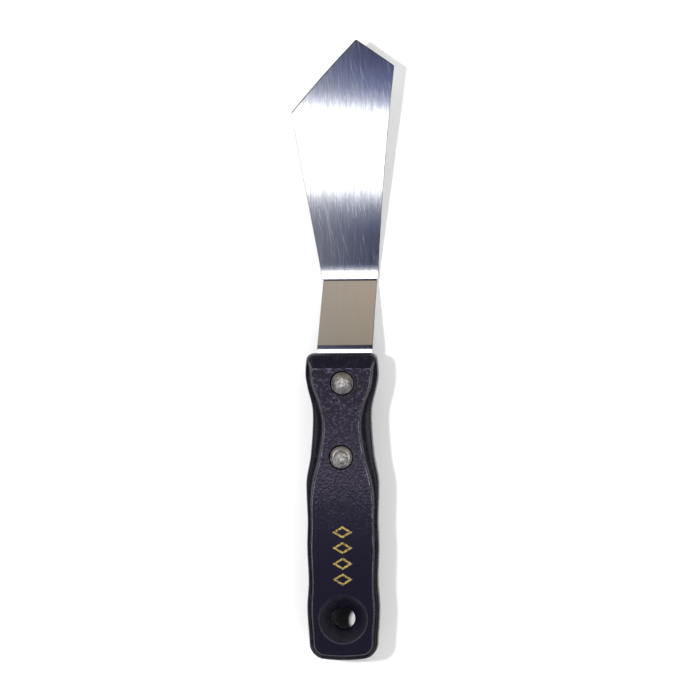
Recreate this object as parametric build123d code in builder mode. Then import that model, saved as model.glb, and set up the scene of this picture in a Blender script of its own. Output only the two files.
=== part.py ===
"""Palette knife: a cranked steel blade held between two moulded scales by two cutlery rivets.

Frame: millimetres. The origin is on the axis of the hanging hole, on the plane where the two
scales meet. +Y runs along the handle towards the blade's tip, +Z leaves the front face.
"""

import math
import os

from build123d import *

# ---------------------------------------------------------------- handle
HANDLE_LENGTH = 119.6
HANDLE_WIDTH = 28.4
HANDLE_THICKNESS = 15.0
HOLE_TO_TAIL = 16.4  # hanging hole's axis to the end of the handle
TAIL_BOW = 1.5  # how far the tail end bows out past its corners
TAIL_TAPER = 0.985  # the sides draw in by this share at the tail
MOUTH_CORNER = 3.0
TAIL_CORNER = 5.0
RIM_HEIGHT = 4.2  # straight side wall of one scale, from the parting plane
RIM_ROUND = 1.3
PARTING_CHAMFER = 0.25  # relief along the outer edge where the scales meet

# The grip's outline, as (share of the length from the tail, share of the half width): a tail
# swell, two finger swells, a long rise, the waist behind the mouth and the shoulder.
GRIP_PROFILE = (
    (0.064, 0.944),
    (0.171, 0.998),
    (0.256, 0.955),
    (0.370, 0.988),
    (0.455, 0.969),
    (0.545, 0.994),
    (0.592, 0.986),
    (0.671, 0.868),
    (0.813, 0.808),
    (0.890, 0.950),
    (0.931, 1.000),
    (0.983, 0.975),
)

# The flat, textured face inside the bevel, in shares of its own length and half width.
FACE_MOUTH_BEVEL = 6.0  # bevel's run at the mouth
FACE_TAIL_BEVEL = 2.2
FACE_SIDE_BEVEL = 2.3  # bevel's run at the widest place
FACE_TAIL_BOW = 1.0
FACE_MOUTH_CORNER = 0.8
FACE_TAIL_CORNER = 3.5
FACE_PROFILE = (
    (0.060, 0.945),
    (0.160, 1.000),
    (0.250, 0.965),
    (0.370, 1.000),
    (0.460, 0.975),
    (0.540, 0.975),
    (0.610, 0.880),
    (0.690, 0.690),
    (0.800, 0.560),
    (0.870, 0.660),
    (0.935, 0.885),
    (0.980, 0.955),
)

# ---------------------------------------------------------------- hanging hole
HOLE_RADIUS = 4.5
DISH_RADIUS = 9.0  # mouth of the conical dish round the hole
DISH_DEPTH = 4.4

# ---------------------------------------------------------------- blade
STEEL = 1.2  # tang, neck and heel
TIP_STEEL = 0.6  # the blade is ground thinner towards its tip
NECK_REACH = 28.6  # mouth of the handle to the heel bend
BLADE_REACH = 122.4  # mouth of the handle to the tip
FLAT_STRIP = 2.3  # straight steel between the mouth and the first bend
NECK_BEND = 6.0  # radius of the first bend, at the middle of the steel
HEEL_BEND = 2.6  # radius of the heel bend, at the middle of the steel
HEEL_FLAT = 3.0  # level stretch that the heel rests on
HEEL_CURL = 3.0  # length over which the heel then turns up into the blade
HEEL_RISE_DEG = 8.1  # slope of the blade after that
TIP_LIFT = 8.0  # tip's middle line above the plane that the handle lies on

# Plan of the blade, as distances across from the handle's axis and along from the tip or heel.
NECK_LEFT = 9.85
NECK_RIGHT = 11.85
NECK_ROOT = 3.0  # how far the full width of the neck goes into the mouth
HEEL_LEFT = 7.4
HEEL_RIGHT = 13.6
HEEL_STEP = 0.4  # the blade is this much wider than the neck on each side
CORNER_LEFT = 19.2
CORNER_RIGHT = 21.3
CORNER_LEFT_BACK = 28.3  # tip to the left corner, along the handle
CORNER_RIGHT_BACK = 10.4
TIP_ACROSS = 6.4
RIGHT_HOLLOW = 0.7  # how far the long right edge curves in
LEFT_POINT_BOW = 0.35  # how far the edge from the left corner to the tip bows out
POINT_ROUND = 0.6

# ---------------------------------------------------------------- tang and rivets
TANG_WIDTH = 14.0
TANG_PAST_RIVET = 9.0
TANG_CORNER = 4.0
TANG_CLEARANCE = 0.1  # round the tang's edges, in the scales
RIVET_LEAN_DEG = 1.3  # the rivets' line against the handle's axis
FRONT_RIVET = 11.8  # mouth to the rivet's axis
REAR_RIVET = 40.5
HEAD_RADIUS = 4.4
SEAT_GAP = 0.35  # round a head, in its seat
SEAT_DEPTH = 1.6
HEAD_EDGE = 1.1  # height of a head's straight side
FRONT_CROWN = 0.95  # dome above that side
BACK_CROWN = 0.35
SLEEVE_RADIUS = 2.6
POST_RADIUS = 1.6
RIVET_CLEARANCE = 0.05  # sleeve in its holes
POST_CLEARANCE = 0.02  # post in its sleeve
SLEEVE_END_GAP = 0.3  # sleeve's end to the post's head
BORE_FLOOR = 0.6  # metal between the sleeve's bore and its seat
POST_END_GAP = 0.5  # post's end to the bottom of the sleeve's bore

# ---------------------------------------------------------------- locating pegs
PEG_RADIUS = 2.0
PEG_HEIGHT = 3.0
PEG_CLEARANCE = 0.05
PEG_END_GAP = 0.3
PEG_CHAMFER = 0.4
PEG_FROM_HOLE = 15.0
PEG_FROM_TANG = 7.0

# ---------------------------------------------------------------- foil mark
FOIL_COUNT = 4
FOIL_PITCH = 6.1
FOIL_LONG = 4.7  # a lozenge, along the handle
FOIL_WIDE = 7.8
FOIL_STROKE = 0.75
FOIL_FROM_HOLE = 24.6  # hanging hole's axis to the middle of the row
FOIL_THICKNESS = 0.08
FOIL_RECESS = 0.16  # depth that the stamp presses into the face

# ---------------------------------------------------------------- derived places
TAIL_Y = -HOLE_TO_TAIL
MOUTH_Y = TAIL_Y + HANDLE_LENGTH
HALF_THICKNESS = HANDLE_THICKNESS / 2
HEEL_Y = MOUTH_Y + NECK_REACH
TIP_Y = MOUTH_Y + BLADE_REACH
FACE_TAIL_Y = TAIL_Y + FACE_TAIL_BEVEL
FACE_MOUTH_Y = MOUTH_Y - FACE_MOUTH_BEVEL
FACE_WIDTH = HANDLE_WIDTH - 2 * FACE_SIDE_BEVEL
RIVET_MIDDLE_Y = MOUTH_Y - (FRONT_RIVET + REAR_RIVET) / 2
RIVET_SLOPE = math.tan(math.radians(RIVET_LEAN_DEG))
TANG_END_Y = MOUTH_Y - REAR_RIVET - TANG_PAST_RIVET
SEAT_Z = HALF_THICKNESS - SEAT_DEPTH
FOIL_Z = HALF_THICKNESS - FOIL_RECESS
SLEEVE_LENGTH = 2 * SEAT_Z - SLEEVE_END_GAP
POST_LENGTH = 2 * SEAT_Z - BORE_FLOOR - POST_END_GAP
BORE_DEPTH = SLEEVE_LENGTH - BORE_FLOOR


def rivet_place(distance):
    """Axis of a rivet, this far behind the mouth, on the leaning line of the tang."""
    y = MOUTH_Y - distance
    return ((y - RIVET_MIDDLE_Y) * RIVET_SLOPE, y)


RIVET_PLACES = {"front": rivet_place(FRONT_RIVET), "rear": rivet_place(REAR_RIVET)}
PEG_PLACES = ((0, PEG_FROM_HOLE), (0, TANG_END_Y - PEG_FROM_TANG))
FOIL_PLACES = [
    (0, FOIL_FROM_HOLE + (i - (FOIL_COUNT - 1) / 2) * FOIL_PITCH)
    for i in range(FOIL_COUNT)
]


# ---------------------------------------------------------------- handle scales
def grip_outline(height, profile, width, tail_y, mouth_y, bow, corners):
    """A face across the handle: a wavy side on each hand, a bowed tail and a straight mouth."""
    length = mouth_y - tail_y
    side = [(width / 2 * w, tail_y + length * share) for share, w in profile]
    tail_end = (side[0][0] * TAIL_TAPER, tail_y + bow)
    mouth_end = (side[-1][0], mouth_y)
    with BuildSketch(Plane.XY.offset(height)) as face:
        with BuildLine():
            right = Spline(tail_end, *side, mouth_end, tangents=[(0, 1), (0, 1)])
            mirror(right, about=Plane.YZ)
            ThreePointArc(tail_end, (0, tail_y), (-tail_end[0], tail_end[1]))
            Line(mouth_end, (-mouth_end[0], mouth_end[1]))
        make_face()
        fillet(face.vertices().group_by(Axis.Y)[0], corners[0])
        fillet(face.vertices().group_by(Axis.Y)[-1], corners[1])
    return face.sketch


def rim_face(height):
    """The handle's outline, which its side walls follow."""
    corners = (TAIL_CORNER, MOUTH_CORNER)
    return grip_outline(height, GRIP_PROFILE, HANDLE_WIDTH, TAIL_Y, MOUTH_Y, TAIL_BOW, corners)


def flat_face(height):
    """The outline of the flat face inside the bevel."""
    corners = (FACE_TAIL_CORNER, FACE_MOUTH_CORNER)
    return grip_outline(
        height, FACE_PROFILE, FACE_WIDTH, FACE_TAIL_Y, FACE_MOUTH_Y, FACE_TAIL_BOW, corners
    )


def tang_plan(clearance):
    """Plan of the leaning tang and the neck's root, grown by a clearance on each edge."""
    middle_y = (MOUTH_Y + TANG_END_Y) / 2
    middle_x = (middle_y - RIVET_MIDDLE_Y) * RIVET_SLOPE
    root_x = (NECK_RIGHT - NECK_LEFT) / 2
    with BuildSketch() as plan:
        with Locations(Location((middle_x, middle_y), -RIVET_LEAN_DEG)):
            RectangleRounded(
                TANG_WIDTH + 2 * clearance,
                MOUTH_Y - TANG_END_Y + 2 * clearance,
                TANG_CORNER + clearance,
            )
        with Locations((root_x, MOUTH_Y - NECK_ROOT / 2)):
            Rectangle(NECK_LEFT + NECK_RIGHT + 2 * clearance, NECK_ROOT + 2 * clearance)
    return plan.sketch


def scale_body():
    """One scale without its pegs or sockets, with its inner face on the parting plane."""
    with BuildPart() as scale:
        loft([rim_face(0), rim_face(RIM_HEIGHT), flat_face(HALF_THICKNESS)], ruled=True)
        chamfer(scale.faces().sort_by(Axis.Z)[0].outer_wire().edges(), PARTING_CHAMFER)
        fillet(scale.edges().filter_by_position(Axis.Z, RIM_HEIGHT, RIM_HEIGHT), RIM_ROUND)
        # pocket for half of the steel, open at the mouth
        extrude(tang_plan(TANG_CLEARANCE), amount=STEEL / 2, mode=Mode.SUBTRACT)
        # a sleeve's hole right through at each rivet, with a seat for the head
        with Locations(*[(x, y, HALF_THICKNESS) for x, y in RIVET_PLACES.values()]):
            CounterBoreHole(
                SLEEVE_RADIUS + RIVET_CLEARANCE, HEAD_RADIUS + SEAT_GAP, SEAT_DEPTH
            )
        # hanging hole and its dish
        Hole(HOLE_RADIUS)
        with Locations((0, 0, HALF_THICKNESS - DISH_DEPTH / 2)):
            Cone(HOLE_RADIUS, DISH_RADIUS, DISH_DEPTH, mode=Mode.SUBTRACT)
    return scale.part


def foil_plan(height):
    """A row of open lozenges along the handle."""
    half_wide, half_long = FOIL_WIDE / 2, FOIL_LONG / 2
    inset = FOIL_STROKE * math.hypot(half_wide, half_long) / (half_wide * half_long)
    with BuildSketch(Plane.XY.offset(height)) as plan:
        for share, mode in ((1, Mode.ADD), (1 - inset, Mode.SUBTRACT)):
            across, along = half_wide * share, half_long * share
            with Locations(*FOIL_PLACES):
                Polygon((across, 0), (0, along), (-across, 0), (0, -along), mode=mode)
    return plan.sketch


with BuildPart() as front_scale:
    add(scale_body())
    extrude(foil_plan(FOIL_Z), amount=FOIL_RECESS, mode=Mode.SUBTRACT)
    with Locations(*[(x, y, -PEG_HEIGHT / 2) for x, y in PEG_PLACES]):
        Cylinder(PEG_RADIUS, PEG_HEIGHT)
    chamfer(front_scale.faces().group_by(Axis.Z)[0].edges(), PEG_CHAMFER)

with BuildPart() as back_scale:
    mirror(scale_body(), about=Plane.XY)
    socket_depth = PEG_HEIGHT + PEG_END_GAP
    with Locations(*[(x, y, -socket_depth / 2) for x, y in PEG_PLACES]):
        Cylinder(PEG_RADIUS + PEG_CLEARANCE, socket_depth, mode=Mode.SUBTRACT)

with BuildPart() as foil_mark:
    extrude(foil_plan(FOIL_Z), amount=FOIL_THICKNESS)


# ---------------------------------------------------------------- blade
def steel_face_line(side):
    """The upper (+1) or lower (-1) face of the bent strip, from the tang's end to the tip."""
    half, tip_half = side * STEEL / 2, side * TIP_STEEL / 2
    heel_z = STEEL / 2 - HALF_THICKNESS + half
    tip_z = TIP_LIFT - HALF_THICKNESS + tip_half
    with BuildLine() as line:
        bent = FilletPolyline(
            (TANG_END_Y, half),
            (MOUTH_Y + FLAT_STRIP, half),
            (HEEL_Y, heel_z),
            (HEEL_Y + HEEL_FLAT, heel_z),
            radius=[NECK_BEND + half, HEEL_BEND - half],
        )
        curl_radius = HEEL_CURL / math.radians(HEEL_RISE_DEG)
        curl = JernArc(bent @ 1, (1, 0), curl_radius, HEEL_RISE_DEG)
        TangentArc(curl @ 1, (TIP_Y, tip_z), tangent=curl % 1)
    return line.line


def steel_profile():
    """Side view of the bent strip."""
    upper, lower = steel_face_line(1), steel_face_line(-1)
    with BuildSketch(Plane.YZ) as profile:
        with BuildLine():
            add([upper, lower])
            Line(upper @ 0, lower @ 0)
            Line(upper @ 1, lower @ 1)
        make_face()
    return profile.sketch


def blade_plan():
    """Plan of the five-cornered blade and its neck, down to the mouth."""
    step_y = HEEL_Y + HEEL_STEP
    tip = (TIP_ACROSS, TIP_Y)
    left_corner = (-CORNER_LEFT, TIP_Y - CORNER_LEFT_BACK)
    right_corner = (CORNER_RIGHT, TIP_Y - CORNER_RIGHT_BACK)
    heel_right = (HEEL_RIGHT + HEEL_STEP, step_y)
    with BuildSketch() as plan:
        with BuildLine():
            Polyline(
                heel_right,
                (HEEL_RIGHT, HEEL_Y),
                (NECK_RIGHT, MOUTH_Y),
                (-NECK_LEFT, MOUTH_Y),
                (-HEEL_LEFT, HEEL_Y),
                (-HEEL_LEFT - HEEL_STEP, step_y),
                left_corner,
            )
            SagittaArc(left_corner, tip, LEFT_POINT_BOW)
            Line(tip, right_corner)
            SagittaArc(right_corner, heel_right, -RIGHT_HOLLOW)
        make_face()
        fillet(plan.vertices().sort_by(Axis.Y)[-3:], POINT_ROUND)
        add(tang_plan(0))
    return plan.sketch


with BuildPart() as blade:
    extrude(steel_profile(), amount=CORNER_LEFT + CORNER_RIGHT, both=True)
    extrude(blade_plan(), amount=HANDLE_THICKNESS, both=True, mode=Mode.INTERSECT)
    with Locations(*RIVET_PLACES.values()):
        Hole(SLEEVE_RADIUS + RIVET_CLEARANCE)


# ---------------------------------------------------------------- rivets
def rivet_half(place, side, crown, shank_radius, shank_length):
    """A domed head in its seat, on the front (+1) or back (-1), and the shank behind it."""
    x, y = place
    section = Plane((x, y, side * SEAT_Z), x_dir=(1, 0, 0), z_dir=(0, -side, 0))
    apex = (0, HEAD_EDGE + crown)
    shoulder = (HEAD_RADIUS, HEAD_EDGE)
    with BuildPart() as half:
        with BuildSketch(section):
            with BuildLine():
                Polyline(
                    apex,
                    (0, -shank_length),
                    (shank_radius, -shank_length),
                    (shank_radius, 0),
                    (HEAD_RADIUS, 0),
                    shoulder,
                )
                TangentArc(apex, shoulder, tangent=(1, 0))
            make_face()
        revolve(axis=Axis((x, y, 0), (0, 0, 1)))
    return half.part


os.makedirs("parts", exist_ok=True)
for name, place in RIVET_PLACES.items():
    with BuildPart() as post:
        add(rivet_half(place, 1, FRONT_CROWN, POST_RADIUS, POST_LENGTH))
    with BuildPart() as socket:
        add(rivet_half(place, -1, BACK_CROWN, SLEEVE_RADIUS, SLEEVE_LENGTH))
        with Locations((*place, SEAT_Z - SLEEVE_END_GAP - BORE_DEPTH / 2)):
            Cylinder(POST_RADIUS + POST_CLEARANCE, BORE_DEPTH, mode=Mode.SUBTRACT)
    post.part.label = f"{name}_rivet_post"
    export_step(post.part, f"parts/{name}_rivet_post.step")
    socket.part.label = f"{name}_rivet_socket"
    export_step(socket.part, f"parts/{name}_rivet_socket.step")

# ---------------------------------------------------------------- export
blade.part.label = "blade"
export_step(blade.part, "parts/blade.step")
front_scale.part.label = "front_scale"
export_step(front_scale.part, "parts/front_scale.step")
back_scale.part.label = "back_scale"
export_step(back_scale.part, "parts/back_scale.step")
foil_mark.part.label = "foil_mark"
export_step(foil_mark.part, "parts/foil_mark.step")
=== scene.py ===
"""Palette knife: a cranked steel blade riveted between two moulded scales, on a pale floor.

Everything is in metres and in the CAD frame: +Y runs along the handle to the blade's tip, and +Z
leaves the handle's front face.
"""

import math

import bmesh
import bpy
from mathutils import Matrix, Vector, noise
from mathutils.geometry import interpolate_bezier


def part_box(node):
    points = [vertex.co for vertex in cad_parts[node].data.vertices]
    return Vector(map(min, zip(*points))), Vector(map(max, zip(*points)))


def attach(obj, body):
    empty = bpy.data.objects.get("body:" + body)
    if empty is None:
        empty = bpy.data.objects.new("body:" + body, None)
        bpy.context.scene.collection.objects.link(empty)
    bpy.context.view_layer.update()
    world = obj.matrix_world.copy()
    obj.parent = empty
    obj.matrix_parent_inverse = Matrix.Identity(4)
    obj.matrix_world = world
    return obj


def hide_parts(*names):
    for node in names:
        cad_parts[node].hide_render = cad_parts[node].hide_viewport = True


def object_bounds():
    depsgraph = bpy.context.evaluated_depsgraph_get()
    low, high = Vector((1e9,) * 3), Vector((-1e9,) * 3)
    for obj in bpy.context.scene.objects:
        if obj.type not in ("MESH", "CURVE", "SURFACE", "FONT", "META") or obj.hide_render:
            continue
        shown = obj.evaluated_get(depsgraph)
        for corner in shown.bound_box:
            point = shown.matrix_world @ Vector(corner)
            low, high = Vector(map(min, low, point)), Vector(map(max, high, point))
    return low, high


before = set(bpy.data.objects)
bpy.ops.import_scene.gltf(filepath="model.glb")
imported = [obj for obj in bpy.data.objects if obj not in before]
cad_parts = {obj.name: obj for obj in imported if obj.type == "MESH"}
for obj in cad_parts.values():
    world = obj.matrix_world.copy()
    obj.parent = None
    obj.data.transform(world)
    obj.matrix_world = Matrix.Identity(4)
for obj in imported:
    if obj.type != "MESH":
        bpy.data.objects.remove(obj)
CAD_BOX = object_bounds()

bl_info = {
    "name": "Palette Knife",
    "version": (1, 0, 0),
    "blender": (4, 5, 0),
    "location": "View3D > Sidebar > Palette Knife",
    "description": "Builds a riveted palette knife with a brushed blade and a moulded handle",
    "category": "Object",
}

MM = 0.001
ROOT = "root"
UP = Vector((0, 0, 1))
# How far a curve's handles reach into a corner to round it, as a share of the corner's size.
ROUND_PULL = 0.55
# Material slots: a scale's three, and the blade's second one, for its ground edges.
PEBBLED, SATIN, EDGE_HIGHLIGHT = range(3)
GROUND = 1

# Places that come from the frame.
SCALE_LOW, SCALE_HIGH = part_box("front_scale")
TAIL_Y, MOUTH_Y = SCALE_LOW.y, SCALE_HIGH.y
HALF_WIDTH = SCALE_HIGH.x
FACE_Z = SCALE_HIGH.z
FLOOR_Z = CAD_BOX[0].z
BLADE_LOW, BLADE_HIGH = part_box("blade")


def rivet_axis(name):
    """Where a rivet's axis stands, in plan."""
    low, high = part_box(name + "_rivet_post")
    return Vector(((low.x + high.x) / 2, (low.y + high.y) / 2, 0))


RIVETS = {name: rivet_axis(name) for name in ("front", "rear")}
RIVET_MIDDLE = (RIVETS["front"] + RIVETS["rear"]) / 2
RIVET_LEAN = (RIVETS["front"].x - RIVETS["rear"].x) / (RIVETS["front"].y - RIVETS["rear"].y)

# The grip's outline and its flat face, as (share of the length, share of the half width).
GRIP_PROFILE = (
    (0.064, 0.944),
    (0.171, 0.998),
    (0.256, 0.955),
    (0.370, 0.988),
    (0.455, 0.969),
    (0.545, 0.994),
    (0.592, 0.986),
    (0.671, 0.868),
    (0.813, 0.808),
    (0.890, 0.950),
    (0.931, 1.000),
    (0.983, 0.975),
)
FACE_PROFILE = (
    (0.060, 0.945),
    (0.160, 1.000),
    (0.250, 0.965),
    (0.370, 1.000),
    (0.460, 0.975),
    (0.540, 0.975),
    (0.610, 0.880),
    (0.690, 0.690),
    (0.800, 0.560),
    (0.870, 0.660),
    (0.935, 0.885),
    (0.980, 0.955),
)


# ------------------------------------------------------------------ settings
def srgb(code):
    """A colour given as sRGB hex, as linear RGBA."""
    channels = [int(code[i : i + 2], 16) / 255 for i in (0, 2, 4)]
    linear = [c / 12.92 if c <= 0.04045 else ((c + 0.055) / 1.055) ** 2.4 for c in channels]
    return (*linear, 1.0)


def length(name, size, description):
    """A length that can be set, given in millimetres."""
    return bpy.props.FloatProperty(
        name=name, default=size * MM, description=description, unit="LENGTH", precision=5
    )


def angle(name, degrees, description):
    """An angle that can be set, given in degrees."""
    return bpy.props.FloatProperty(
        name=name, default=math.radians(degrees), description=description, unit="ROTATION"
    )


def colour(name, code, description):
    """A colour that can be set, given as sRGB hex."""
    return bpy.props.FloatVectorProperty(
        name=name, default=srgb(code), size=4, subtype="COLOR", description=description
    )


def amount(name, value, description):
    """A plain number that can be set."""
    return bpy.props.FloatProperty(name=name, default=value, description=description)


class KnifeHandleSettings(bpy.types.PropertyGroup):
    """Sizes and colours of the two handle scales."""

    tail_bow: length("Tail bow", 1.5, "How far the tail end bows out past its corners")
    tail_taper: amount("Tail taper", 0.985, "Share that the sides draw in to at the tail")
    mouth_corner: length("Mouth corner", 3.0, "Rounding of the outline at the mouth")
    tail_corner: length("Tail corner", 5.0, "Rounding of the outline at the tail")
    rim_height: length("Rim height", 4.2, "Side wall of one scale, up from the parting plane")
    rim_round: length("Rim round", 1.6, "Reach of the rounding between wall and bevel")
    shoulder: angle("Shoulder", 10, "Slope of the cove where it leaves the rim")
    crest_slope: angle("Crest slope", 80, "Slope of the cove where it meets the face")
    crest_round: length("Crest round", 0.26, "Rounding between the cove and the face")
    parting: length("Parting relief", 0.25, "Relief along the line where the scales meet")
    mouth_bevel: length("Mouth bevel", 6.0, "Run of the bevel at the mouth")
    tail_bevel: length("Tail bevel", 2.2, "Run of the bevel at the tail")
    side_bevel: length("Side bevel", 2.3, "Run of the bevel at the widest place")
    face_tail_bow: length("Face tail bow", 1.0, "How far the face bows out at the tail")
    face_mouth_corner: length("Face mouth corner", 0.8, "Corner of the face at the mouth")
    face_tail_corner: length("Face tail corner", 3.5, "Corner of the face at the tail")
    dish_radius: length("Dish radius", 9.0, "Mouth of the dish round the hanging hole")
    dish_depth: length("Dish depth", 4.4, "Depth of the dish")
    dish_round: length("Dish lip", 0.45, "Rounding of the dish's lip")
    hole_radius: length("Hole radius", 4.5, "Radius of the hanging hole")
    seat_radius: length("Seat radius", 4.75, "Seat round a rivet head")
    seat_lip: length("Seat lip", 0.12, "Rounding of a seat's lip")
    seat_depth: length("Seat depth", 1.6, "Depth of a rivet's seat")
    seat_cone: length("Seat cone", 0.8, "Height of the cone round the foot of a seat")
    sleeve_hole: length("Sleeve hole", 2.65, "Radius of the hole for a rivet's sleeve")
    peg_radius: length("Peg radius", 2.0, "Radius of a locating peg")
    peg_height: length("Peg height", 3.0, "Height of a locating peg")
    peg_chamfer: length("Peg chamfer", 0.4, "Chamfer at a peg's end")
    socket_clearance: length("Socket clearance", 0.05, "Room round a peg in its socket")
    socket_room: length("Socket room", 0.3, "Room past a peg's end")
    peg_from_hole: length("Peg from hole", 15.0, "Hanging hole to the first peg")
    peg_from_tang: length("Peg from tang", 7.0, "End of the tang to the second peg")
    pocket_clearance: length("Pocket clearance", 0.1, "Room round the tang's edges")
    pebble: length("Pebble", 0.8, "Size of a moulded pebble on the face")
    plastic: colour("Plastic", "0d0b17", "Moulded handle plastic")
    # Used twice: as a painted sheen on the pebbled face's lump tops, and for faint handling marks on
    # the satin rim and cove.
    rubbed_and_sheen: colour("Rubbed plastic", "4c4858", "Plastic rubbed lighter on its high spots")
    # Painted highlight along the crest of the face, not a colour of the plastic.
    edge: colour("Rubbed edge", "716d88", "Plastic rubbed pale along the edge of the face")
    glint: colour("Glint", "f6e8ff", "Tint of the face's highlights")


class KnifeBladeSettings(bpy.types.PropertyGroup):
    """Sizes and colours of the blade."""

    steel: length("Steel", 1.2, "Thickness of the tang, neck and heel")
    tip_steel: length("Tip steel", 0.6, "Thickness of the blade at its tip")
    flat_strip: length("Flat strip", 2.15, "Straight steel outside the mouth")
    neck_reach: length("Neck reach", 28.6, "Mouth to the heel bend")
    neck_bend: length("Neck bend", 9.0, "Radius of the bend outside the mouth")
    heel_bend: length("Heel bend", 3.8, "Radius of the heel bend")
    heel_flat: length("Heel flat", 0.52, "Level stretch that the heel rests on")
    heel_curl: length("Heel curl", 6.8, "Length over which the heel turns up")
    heel_rise: angle("Heel rise", 8.1, "Slope of the blade past the heel")
    tip_lift: length("Tip lift", 8.0, "Tip's middle line above the floor")
    neck_left: length("Neck left", 9.85, "Axis to the neck's left edge at the mouth")
    neck_right: length("Neck right", 11.85, "Axis to the neck's right edge at the mouth")
    neck_root: length("Neck root", 3.0, "How far the full neck goes into the mouth")
    heel_left: length("Heel left", 7.4, "Axis to the neck's left edge at the heel")
    heel_right: length("Heel right", 13.6, "Axis to the neck's right edge at the heel")
    heel_step: length("Heel step", 0.4, "How much wider the blade is than the neck")
    corner_back_left: length("Left corner", 28.3, "Tip to the left corner, along the handle")
    corner_back_right: length("Right corner", 10.4, "Tip to the right corner, along the handle")
    tip_across: length("Tip across", 6.4, "Axis to the tip")
    right_hollow: length("Right hollow", 0.7, "How far the right edge curves in")
    left_bow: length("Left bow", 0.35, "How far the edge to the tip bows out")
    corner_round: length("Corner round", 0.6, "Rounding of the blade's three corners")
    edge_break: length("Edge break", 0.12, "Bevel along the strip's edges")
    point_bevel: length("Point bevel", 0.36, "Ground bevel along the two edges at the tip")
    edge_depth: amount("Edge depth", 0.55, "Depth of both bevels, as a share of their width")
    twist: length("Twist", 0.26, "How far the blade's twist lowers the right side at the tip")
    twist_early: length("Twist starts early", 12.0, "How far before the blade's middle it twists")
    tang_width: length("Tang width", 14.0, "Width of the tang")
    tang_corner: length("Tang corner", 4.0, "Rounding of the tang's corners")
    brush_mark: length("Brush mark", 0.35, "Width of a brush mark, coarse enough to show")
    wave: length("Wave", 1.7, "Width of a shallow wave left by the belt")
    wave_height: length("Wave height", 0.04, "Height of a wave")
    crown: amount("Crown", 2.0, "How fast the steel falls away from its middle line, per metre")
    scratch: length("Scratch", 0.34, "Width of a scratch, coarse enough to show")
    scratch_lean: angle("Scratch lean", 11, "Slant of the scratches")
    metal: colour("Steel", "d2d3d5", "Brushed stainless steel")
    metal_shade: colour("Steel in the marks", "a8a9b0", "Steel in the deeper brush marks")
    # The ground edges' steel is painted dark: painted shade in place of the dim room that they would
    # reflect.
    ground_edge_painted_dark: colour("Ground edge", "4a4a50", "Steel of the ground edges")
    edge_shade: colour("Ground edge, paler", "66666c", "The same, where it is paler")


class KnifeRivetSettings(bpy.types.PropertyGroup):
    """Sizes and colours of the rivets."""

    head_radius: length("Head radius", 4.4, "Radius of a head")
    head_edge: length("Head edge", 1.1, "Height of a head's straight side")
    head_round: length("Head round", 0.3, "Rounding of a head's rim")
    front_crown: length("Front crown", 0.95, "Dome of the post's head")
    flatness: amount("Flatness", 3.4, "How flat a head is: 2 is a dome, more is flatter")
    back_crown: length("Back crown", 0.35, "Dome of the socket's head")
    post_radius: length("Post radius", 1.6, "Radius of the post")
    sleeve_radius: length("Sleeve radius", 2.6, "Radius of the socket's sleeve")
    bore_clearance: length("Bore clearance", 0.02, "Room round the post in the sleeve")
    sleeve_end_gap: length("Sleeve end gap", 0.3, "Sleeve's end to the post's head")
    bore_floor: length("Bore floor", 0.6, "Metal at the bottom of the sleeve's bore")
    post_end_gap: length("Post end gap", 0.5, "Room past the post's end")
    dent: length("Dent", 0.14, "Depth of a hammer mark")
    facet: length("Facet", 1.5, "Width of a hammer mark")
    groove_at: amount("Groove", 0.62, "Where the peened ring runs, as a share of the head's radius")
    groove_wide: amount("Groove width", 0.13, "Width of the peened ring, as a share of it")
    plate: colour("Nickel", "b6b2ae", "Nickel plating")
    grime: colour("Grime", "5a544a", "Dirt in the hammer marks")


class KnifeFoilSettings(bpy.types.PropertyGroup):
    """Sizes and colours of the foil mark."""

    count: bpy.props.IntProperty(name="Lozenges", default=4, description="How many in the row")
    pitch: length("Pitch", 6.1, "From one lozenge to the next")
    stroke: length("Stroke", 0.75, "Width of a lozenge's line")
    recess: length("Recess", 0.16, "How deep the stamp pressed into the face")
    gold: colour("Gold", "d6c06a", "Gold stamping foil")
    bare: colour("Bare", "2a2119", "Plastic where the foil has worn off")


class KnifeStageSettings(bpy.types.PropertyGroup):
    """The floor, the lights and the camera."""

    paper: colour("Paper", "f3f3f3", "Pale floor")
    paper_shade: colour("Paper shade", "efeff0", "Faint mottle of the floor")
    floor_reach: length("Floor reach", 4000, "Half the floor's side")
    distance: length("Distance", 1000, "Knife to the camera")
    view_width: length("View width", 273.0, "What the picture spans at the knife")
    view_x: length("View across", 3.12, "Middle of the picture, across the handle")
    view_y: length("View along", 104.3, "Middle of the picture, along the handle")
    tilt: angle("Tilt", 3.0, "Camera's lean to the right of straight above")
    roll: angle("Roll", 0.44, "Camera's roll")
    fill: amount("Fill", 1.18, "Brightness of the surroundings on matt surfaces")
    wall: colour("Low wall", "9c9ea6", "What glossy surfaces see low in the room")
    key_power: amount("Side light", 15.0, "Power of the side light, in watts")
    key_rise: angle("Side light rise", 58, "How high the side light stands")
    key_turn: angle("Side light turn", 8, "How far it stands towards the tip from straight left")
    key_reach: length("Side light reach", 1300, "Knife to the side light")
    key_size: length("Side light size", 140, "Side of the side light")
    box_power: amount("Soft box", 1.45, "Power of the overhead soft box, in watts")
    box_start: length("Soft box start", 17.0, "Hanging hole to the soft box's near edge, in plan")
    box_end: length("Soft box end", 191.5, "Hanging hole to its far edge, in plan")
    box_wide: length("Soft box width", 1000, "Size of the soft box across the handle")
    box_height: length("Soft box height", 1050, "How high the soft box hangs")


def settings(group):
    """One group of the scene's settings."""
    return getattr(bpy.context.scene, "knife_" + group)


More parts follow.
